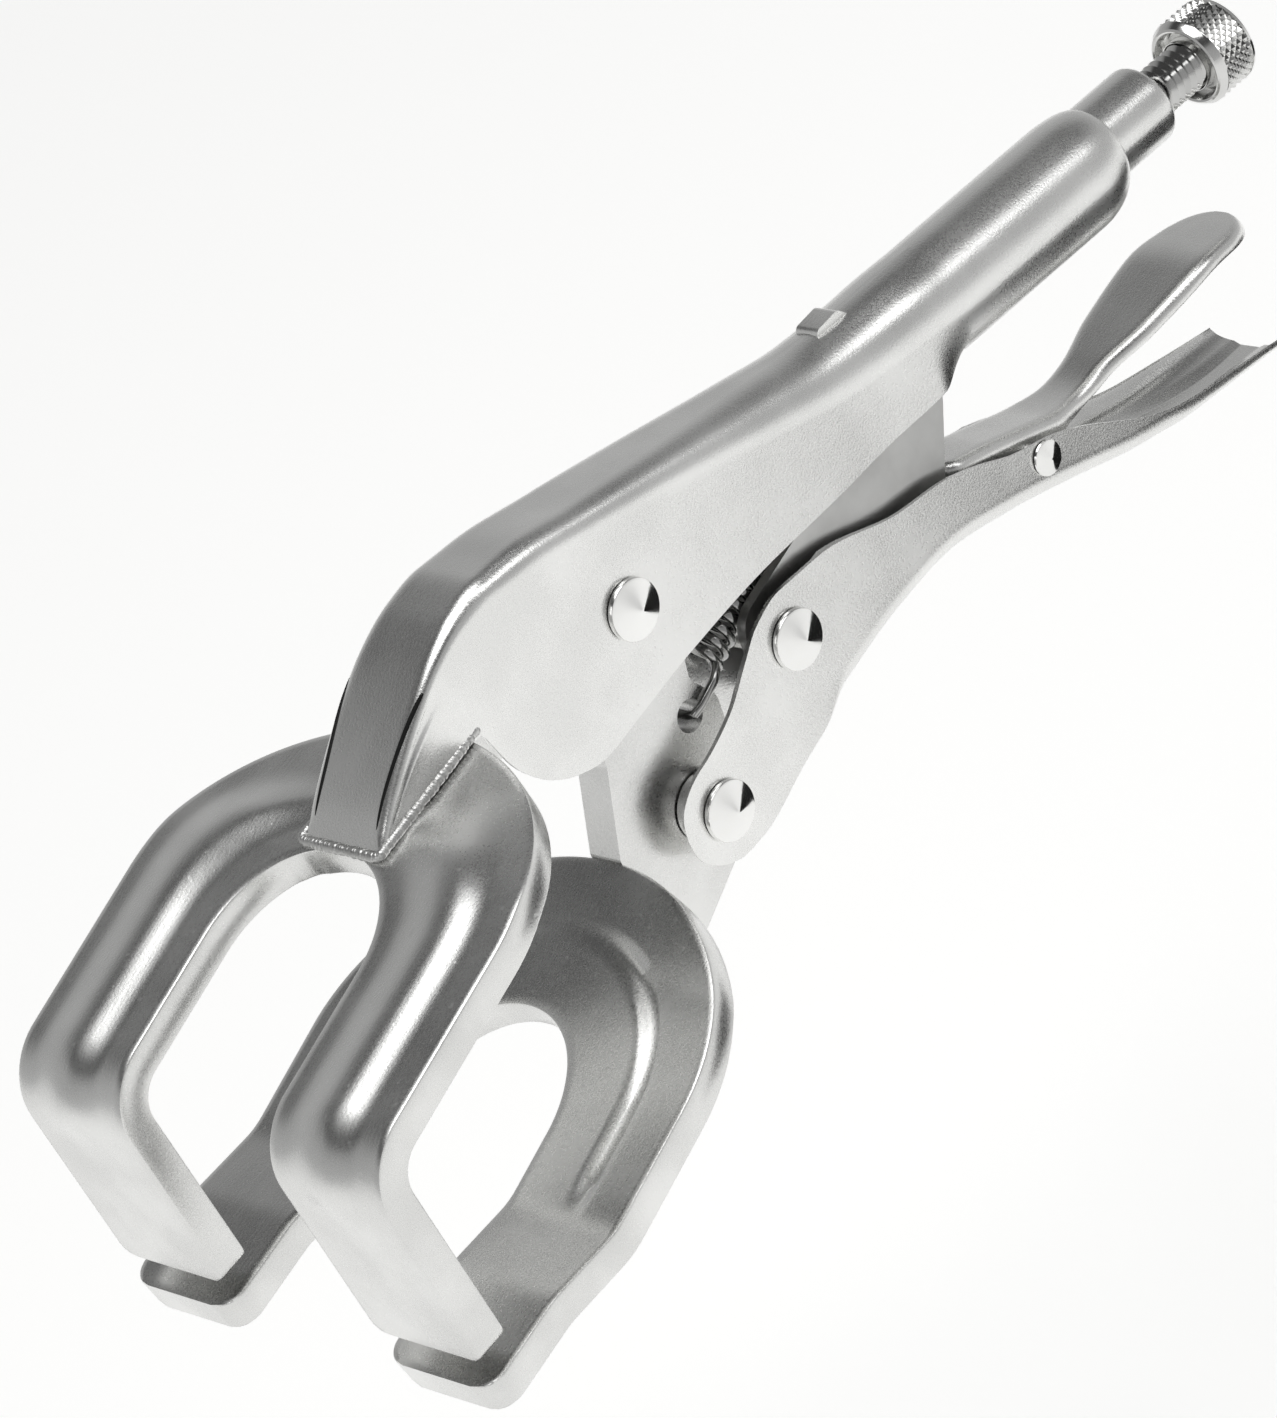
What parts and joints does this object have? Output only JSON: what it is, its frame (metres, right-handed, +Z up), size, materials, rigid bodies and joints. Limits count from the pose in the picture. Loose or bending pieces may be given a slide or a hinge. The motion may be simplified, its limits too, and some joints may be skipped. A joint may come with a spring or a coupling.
{
  "type": "locking pliers",
  "caption": "Locking welding clamp with forked jaws, a pressed channel handle with a toggle link, and a knurled adjusting screw.",
  "frame": {"origin": "middle of the tool's footprint, on the surface it stands on", "axes": "+X from the jaws towards the adjusting knob, +Z up from the lever to the handle's spine, +Y to the left"},
  "size_m": [0.2542, 0.08, 0.0817],
  "materials": {
    "plated_sheet": "satin nickel plating on pressed steel sheet",
    "plated_plate": "satin nickel plating on thick steel plate",
    "plated_bar": "nickel plated turned steel",
    "rivet_steel": "bright nickel plated rivet with a turned head",
    "weld_metal": "rippled weld bead under the plating",
    "spring_wire": "drawn spring wire, plated",
    "link_steel": "nickel plated pressed steel, darker inside the handle",
    "screw_steel": "rolled thread, plated",
    "knurled_steel": "diamond knurled and plated"
  },
  "bodies": {
    "handle": {"upper_handle": "plated_sheet", "adjusting_nut": "plated_bar", "upper_fork_jaw": "plated_plate", "upper_jaw_weld": "weld_metal", "jaw_pivot_rivet": "rivet_steel", "jaw_pivot_spacers": "plated_bar", "return_spring": "spring_wire"},
    "lower_jaw": {"lower_jaw_shank": "plated_plate", "lower_fork_jaw": "plated_plate", "lower_jaw_weld": "weld_metal"},
    "lever": {"lever": "plated_sheet", "lever_pivot_rivet": "rivet_steel", "lever_pivot_spacers": "plated_bar", "link_pivot_rivet": "rivet_steel", "release_lever_pin": "rivet_steel"},
    "link": {"toggle_link": "link_steel"},
    "release_lever": {"release_lever": "plated_sheet"},
    "screw": {"adjusting_screw": "screw_steel"},
    "knob": {"knurled_knob": "knurled_steel"}
  },
  "joints": [
    {"name": "jaw_hinge", "type": "hinge", "parent": "handle", "child": "lower_jaw", "pos_m": [-0.02507, 0, 0.05808], "axis": [0, -1, 0], "range_deg": [0, 32], "deforming": ["return_spring"]},
    {"name": "lever_hinge", "type": "hinge", "parent": "lower_jaw", "child": "lever", "pos_m": [-0.02693, 0, 0.02028], "axis": [0, 1, 0], "range_deg": [0, 91.5]},
    {"name": "link_hinge", "type": "hinge", "parent": "lever", "child": "link", "pos_m": [-0.00218, 0, 0.03268], "axis": [0, -1, 0], "range_deg": [0, 99.5]},
    {"name": "release_hinge", "type": "hinge", "parent": "lever", "child": "release_lever", "pos_m": [0.05396, 0, 0.02125], "axis": [0, 1, 0], "range_deg": [0, 8]},
    {"name": "screw_slide", "type": "slide", "parent": "handle", "child": "screw", "axis": [0.9951, 0, -0.0992], "range_m": [0, 0.02001]},
    {"name": "knob_turn", "type": "hinge", "parent": "screw", "child": "knob", "pos_m": [0.12198, 0, 0.04622], "axis": [0.9951, 0, -0.0992], "range_deg": [0, 4800]}
  ],
  "couplings": [
    {"joint": "lever_hinge", "follows": "jaw_hinge", "ratio": 2.85},
    {"joint": "link_hinge", "follows": "jaw_hinge", "ratio": 3.1},
    {"joint": "screw_slide", "follows": "knob_turn", "m_per_rad": 0.00023873}
  ]
}
